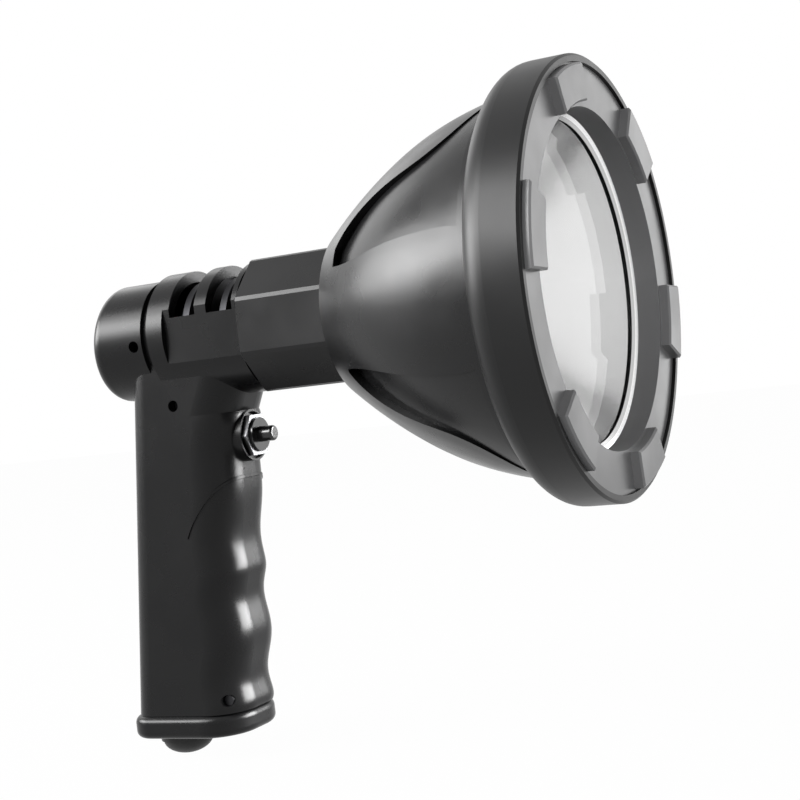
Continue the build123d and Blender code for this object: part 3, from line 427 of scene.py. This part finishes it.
rubber_black = plastic(
    "rubber_black", rubber_grey, roughness=0.5,
    grain_size=0.6 * MM, grain_depth=0.03 * MM, wear=0.08, specular=0.35,
)
natural_plastic = plastic(
    "natural_plastic", (0.55, 0.54, 0.5), roughness=0.4, grain_size=0.5 * MM, grain_depth=0.02 * MM,
)
board_green = plastic(
    "board_green", (0.02, 0.12, 0.05), roughness=0.35, grain_size=0.8 * MM, grain_depth=0.02 * MM,
)
phosphor = plastic(
    "phosphor", (0.8, 0.62, 0.08), roughness=0.3, grain_size=0.2 * MM, grain_depth=0.01 * MM,
)
lead_red = plastic(
    "lead_red", (0.4, 0.02, 0.02), roughness=0.4, grain_size=0.5 * MM, grain_depth=0.01 * MM,
)
cell_blue = plastic(
    "cell_blue", (0.03, 0.08, 0.3), roughness=0.3, grain_size=0.8 * MM, grain_depth=0.01 * MM,
)

# %% [markdown]
# Metal has no colour under its gloss: all that it shows is mirrored. The Principled shader turns to
# metal when Metallic is one, and its base colour then tints the mirror image. A glossy shader would
# mirror as well, but with this one plastic and metal are made alike. The heat sink is dark anodised
# aluminium, the screws are blackened, the switch is plated and the battery contacts are brass. The
# reflector is a bright vapour-coated skin: a mirror softened by haze, with a broad faint waviness.

# %% Metals
tool_detail = 2
tool_strength = 0.3


def metal(name, grey, roughness, grain_size, grain_depth):
    """Bare or plated metal with a fine tool grain."""
    material, tree, output = new_material(name)
    surface = add_node(tree, "ShaderNodeBsdfPrincipled", {
        "Base Color": (*grey, 1),
        "Metallic": 1.0,
        "Roughness": roughness,
    })
    add_grain(tree, surface, grain_size, grain_depth, tool_detail, tool_strength)
    tree.links.new(surface.outputs["BSDF"], output.inputs["Surface"])
    print("metal", name)
    return material


sink_metal = metal(
    "sink_metal", (0.025, 0.025, 0.027), roughness=0.45, grain_size=0.6 * MM, grain_depth=0.02 * MM,
)
screw_steel = metal(
    "screw_steel", (0.03, 0.03, 0.032), roughness=0.45, grain_size=0.5 * MM, grain_depth=0.02 * MM,
)
plated_steel = metal(
    "plated_steel", (0.16, 0.16, 0.165), roughness=0.28, grain_size=0.5 * MM, grain_depth=0.01 * MM,
)
brass = metal(
    "brass", (0.75, 0.55, 0.25), roughness=0.3, grain_size=0.5 * MM, grain_depth=0.01 * MM,
)
mirror_skin = metal(
    "mirror_skin", (0.7, 0.7, 0.7), roughness=0.22, grain_size=3 * MM, grain_depth=0.002 * MM,
)

# %% [markdown]
# The lens is a flat clear disc whose edge is ground white. Two materials could be given to its faces,
# but its mesh is left as it is, so one material tells the edge by its distance from the light axis.
# The glass bends light less than real glass does, because then less of the white page mirrors in it
# and the reflector shows as clearly as it does in the photograph.

# %% Distance from the light axis


def beyond_radius(tree, radius):
    """One where a point is further from the light axis than a radius, else nought."""
    place = tree.nodes.new("ShaderNodeTexCoord")
    from_axis = add_node(tree, "ShaderNodeVectorMath", {1: (0, 0, axis_height)})
    from_axis.operation = "SUBTRACT"
    across = add_node(tree, "ShaderNodeVectorMath", {1: (0, 1, 1)})
    across.operation = "MULTIPLY"
    distance = tree.nodes.new("ShaderNodeVectorMath")
    distance.operation = "LENGTH"
    beyond = add_node(tree, "ShaderNodeMath", {1: radius})
    beyond.operation = "GREATER_THAN"
    tree.links.new(place.outputs["Object"], from_axis.inputs[0])
    tree.links.new(from_axis.outputs["Vector"], across.inputs[0])
    tree.links.new(across.outputs["Vector"], distance.inputs[0])
    tree.links.new(distance.outputs["Value"], beyond.inputs[0])
    return beyond.outputs["Value"]


# %% Glass
lens_low, lens_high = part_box("lens")
ground_width = 0.5 * MM
ground_start = (lens_high.z - lens_low.z) / 2 - ground_width

lens_clear, lens_tree, lens_output = new_material("clear_glass")
lens_glass = add_node(lens_tree, "ShaderNodeBsdfPrincipled", {
    "Base Color": (0.98, 0.98, 0.98, 1),
    "Roughness": 0.02,
    "IOR": 1.1,
    "Transmission Weight": 1.0,
})
lens_ground = add_node(lens_tree, "ShaderNodeBsdfDiffuse", {"Color": (0.9, 0.9, 0.9, 1)})
lens_mix = lens_tree.nodes.new("ShaderNodeMixShader")
lens_tree.links.new(beyond_radius(lens_tree, ground_start), lens_mix.inputs["Fac"])
lens_tree.links.new(lens_glass.outputs["BSDF"], lens_mix.inputs[1])
lens_tree.links.new(lens_ground.outputs["BSDF"], lens_mix.inputs[2])
lens_tree.links.new(lens_mix.outputs["Shader"], lens_output.inputs["Surface"])
print("lens ground white beyond", round(ground_start / MM, 1), "mm from the light axis")

# %% [markdown]
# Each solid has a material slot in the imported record, and pieces made of the same stuff share one.
# Every node could be given its finish by name, but a table from slot to finish is shorter, and no
# piece is forgotten.

# %% Dress the solids
finishes = {
    "body_plastic": grip_black,
    "head_plastic": head_black,
    "band_plastic": band_black,
    "ring_plastic": ring_black,
    "screw_steel": screw_steel,
    "sink_metal": sink_metal,
    "seal_rubber": rubber_black,
    "cover_rubber": rubber_black,
    "lens_glass": lens_clear,
    "reflector_bright": mirror_skin,
    "sleeve_plastic": natural_plastic,
    "board_plastic": board_green,
    "emitter_plastic": phosphor,
    "component_plastic": button_black,
    "cell_wrap": cell_blue,
    "contact_brass": brass,
    "lead_plastic": lead_red,
    "switch_plastic": button_black,
    "switch_metal": plated_steel,
    "button_plastic": button_black,
    "socket_metal": plated_steel,
}
slot_of = {part["node"]: part["material_slot"] for part in frame["record"]["subparts"]}
for name, node in nodes.items():
    node.data.materials.clear()
    node.data.materials.append(finishes[slot_of[name]])
print("dressed", len(nodes), "solids")

# %% [markdown]
# Three of the added pieces are rings round the light axis. A ring could be spun from its profile, or
# lathed by a modifier. Here it starts as a circle, and its edges are extruded along the profile,
# which goes from point to point as a hand would model it: each step moves the new circle along the
# axis and scales it to its radius. The last circle falls on the first, and the two are welded.

# %% Helper for rings
weld_distance = 0.01 * MM


def ring_round_axis(name, profile, sides, finish):
    """A ring whose profile is a closed list of places along and out from the light axis."""
    first_x, first_radius = profile[0]
    bpy.ops.object.select_all(action="DESELECT")
    bpy.ops.mesh.primitive_circle_add(
        vertices=sides,
        radius=first_radius,
        location=(first_x, 0, axis_height),
        rotation=(0, math.pi / 2, 0),
    )
    ring = bpy.context.active_object
    ring.name = name
    bpy.ops.object.transform_apply(location=True, rotation=True, scale=True)
    bpy.ops.object.mode_set(mode="EDIT")
    bpy.ops.mesh.select_all(action="SELECT")
    x, radius = profile[0]
    for next_x, next_radius in profile[1:] + profile[:1]:
        growth = next_radius / radius
        bpy.ops.mesh.extrude_edges_move(TRANSFORM_OT_translate={"value": (next_x - x, 0, 0)})
        bpy.ops.transform.resize(
            value=(1, growth, growth),
            center_override=(next_x, 0, axis_height),
        )
        x, radius = next_x, next_radius
    bpy.ops.mesh.select_all(action="SELECT")
    bpy.ops.mesh.remove_doubles(threshold=weld_distance)
    bpy.ops.mesh.normals_make_consistent(inside=False)
    bpy.ops.object.mode_set(mode="OBJECT")
    ring.data.materials.append(finish)
    print(name, "has", len(ring.data.polygons), "faces")
    return ring


# %% [markdown]
# A thin bright line runs round the glass, inside the bore of the castellated ring. It could be
# painted on the glass, but then it would be flat and miss the light. It is a bevelled ring of bright
# metal that lies on the glass, and its slope faces forward and inward, so that it mirrors the pale
# room in front. The foot of the slope gets a darker copy of the same metal, which is painted shade,
# and the top is bright.

# %% Bright rim on the glass
bore_radius = 53.8 * MM
rim_clearance = 0.06 * MM
rim_width = 2.2 * MM
rim_depth = 1.5 * MM
rim_sides = 192
rim_outer = bore_radius - rim_clearance
rim_inner = rim_outer - rim_width
rim_middle = (rim_inner + rim_outer) / 2
rim_back = lens_high.x + rim_clearance
rim_front = rim_back + rim_depth
rim_rise = (rim_back + rim_front) / 2

rim_bright = metal(
    "rim_bright", (0.95, 0.95, 0.95), roughness=0.2, grain_size=0.5 * MM, grain_depth=0.001 * MM,
)
# A darker copy of the rim's bright metal for the foot of the slope: painted shade.
rim_painted_shade = metal(
    "rim_painted_shade", (0.6, 0.6, 0.6), roughness=0.25, grain_size=0.5 * MM, grain_depth=0.001 * MM,
)
line_profile = [
    (rim_rise, rim_middle),
    (rim_front, rim_outer),
    (rim_back, rim_outer),
    (rim_back, rim_middle),
]
foot_profile = [
    (rim_back, rim_inner),
    (rim_rise, rim_middle),
    (rim_back, rim_middle),
]
rim_line = ring_round_axis("rim_line", line_profile, rim_sides, rim_bright)
rim_foot = ring_round_axis("rim_foot", foot_profile, rim_sides, rim_painted_shade)
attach(rim_line, "housing")
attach(rim_foot, "housing")

# %% [markdown]
# The heat sink shows one fin in each cooling window. Without a fin between them, under the rib, the
# page shows right through the barrel. A dark plug would close that view too, but a third fin is what
# a heat sink has there, and the ring helper makes it from a plain rectangle.

# %% Middle fin of the heat sink
fin_start = 24.3 * MM
fin_width = 2.5 * MM
fin_radius = 18.3 * MM
core_radius = 12.5 * MM
fin_sides = 96
fin_end = fin_start + fin_width

fin_profile = [
    (fin_start, core_radius),
    (fin_end, core_radius),
    (fin_end, fin_radius),
    (fin_start, fin_radius),
]
middle_fin = ring_round_axis("sink_fin_middle", fin_profile, fin_sides, sink_metal)
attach(middle_fin, "housing")

# %% [markdown]
# The return spring of the switch is a coil of thin wire. A imported solid keeps its length, and the
# spring is made again here as the same coil. A curve along a helix would do, but the Screw modifier
# needs no points: it turns a small circle of wire round the coil's axis and moves it along as it
# goes. The ends are then filled.

# %% Coil of the spring
spring_low, spring_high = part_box("switch_spring")
spring_wire = 0.45 * MM
spring_turns = 6
steps_a_turn = 24
wire_sides = 8
coil_radius = (spring_high.z - spring_low.z - spring_wire) / 2
coil_height = (spring_high.z + spring_low.z) / 2
coil_start = spring_low.x + spring_wire / 2
coil_length = spring_high.x - spring_low.x - spring_wire

bpy.ops.object.select_all(action="DESELECT")
bpy.ops.mesh.primitive_circle_add(
    vertices=wire_sides,
    radius=spring_wire / 2,
    location=(coil_start, 0, coil_height),
)
spring = bpy.context.active_object
spring.name = "spring_coil"
bpy.ops.object.mode_set(mode="EDIT")
bpy.ops.mesh.select_all(action="SELECT")
bpy.ops.transform.translate(value=(0, coil_radius, 0))
bpy.ops.object.mode_set(mode="OBJECT")
screw = spring.modifiers.new("coil", "SCREW")
screw.axis = "X"
screw.angle = 2 * math.pi
screw.screw_offset = coil_length / spring_turns
screw.iterations = spring_turns
screw.steps = steps_a_turn
screw.render_steps = steps_a_turn
bpy.ops.object.modifier_apply(modifier=screw.name)
print("coil of", spring_turns, "turns,", round(coil_length / MM, 1), "mm long")

# %% Ends of the spring
bpy.ops.object.transform_apply(location=True, rotation=True, scale=True)
bpy.ops.object.mode_set(mode="EDIT")
bpy.ops.mesh.select_all(action="SELECT")
bpy.ops.mesh.fill_holes(sides=wire_sides)
bpy.ops.mesh.select_all(action="SELECT")
bpy.ops.mesh.normals_make_consistent(inside=False)
bpy.ops.object.mode_set(mode="OBJECT")
bpy.ops.object.shade_smooth()
spring.data.materials.append(plated_steel)
print("spring has", len(spring.data.polygons), "faces")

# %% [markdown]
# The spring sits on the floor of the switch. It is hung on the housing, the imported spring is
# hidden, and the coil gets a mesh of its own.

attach(spring, "housing")
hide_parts("switch_spring")
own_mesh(spring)
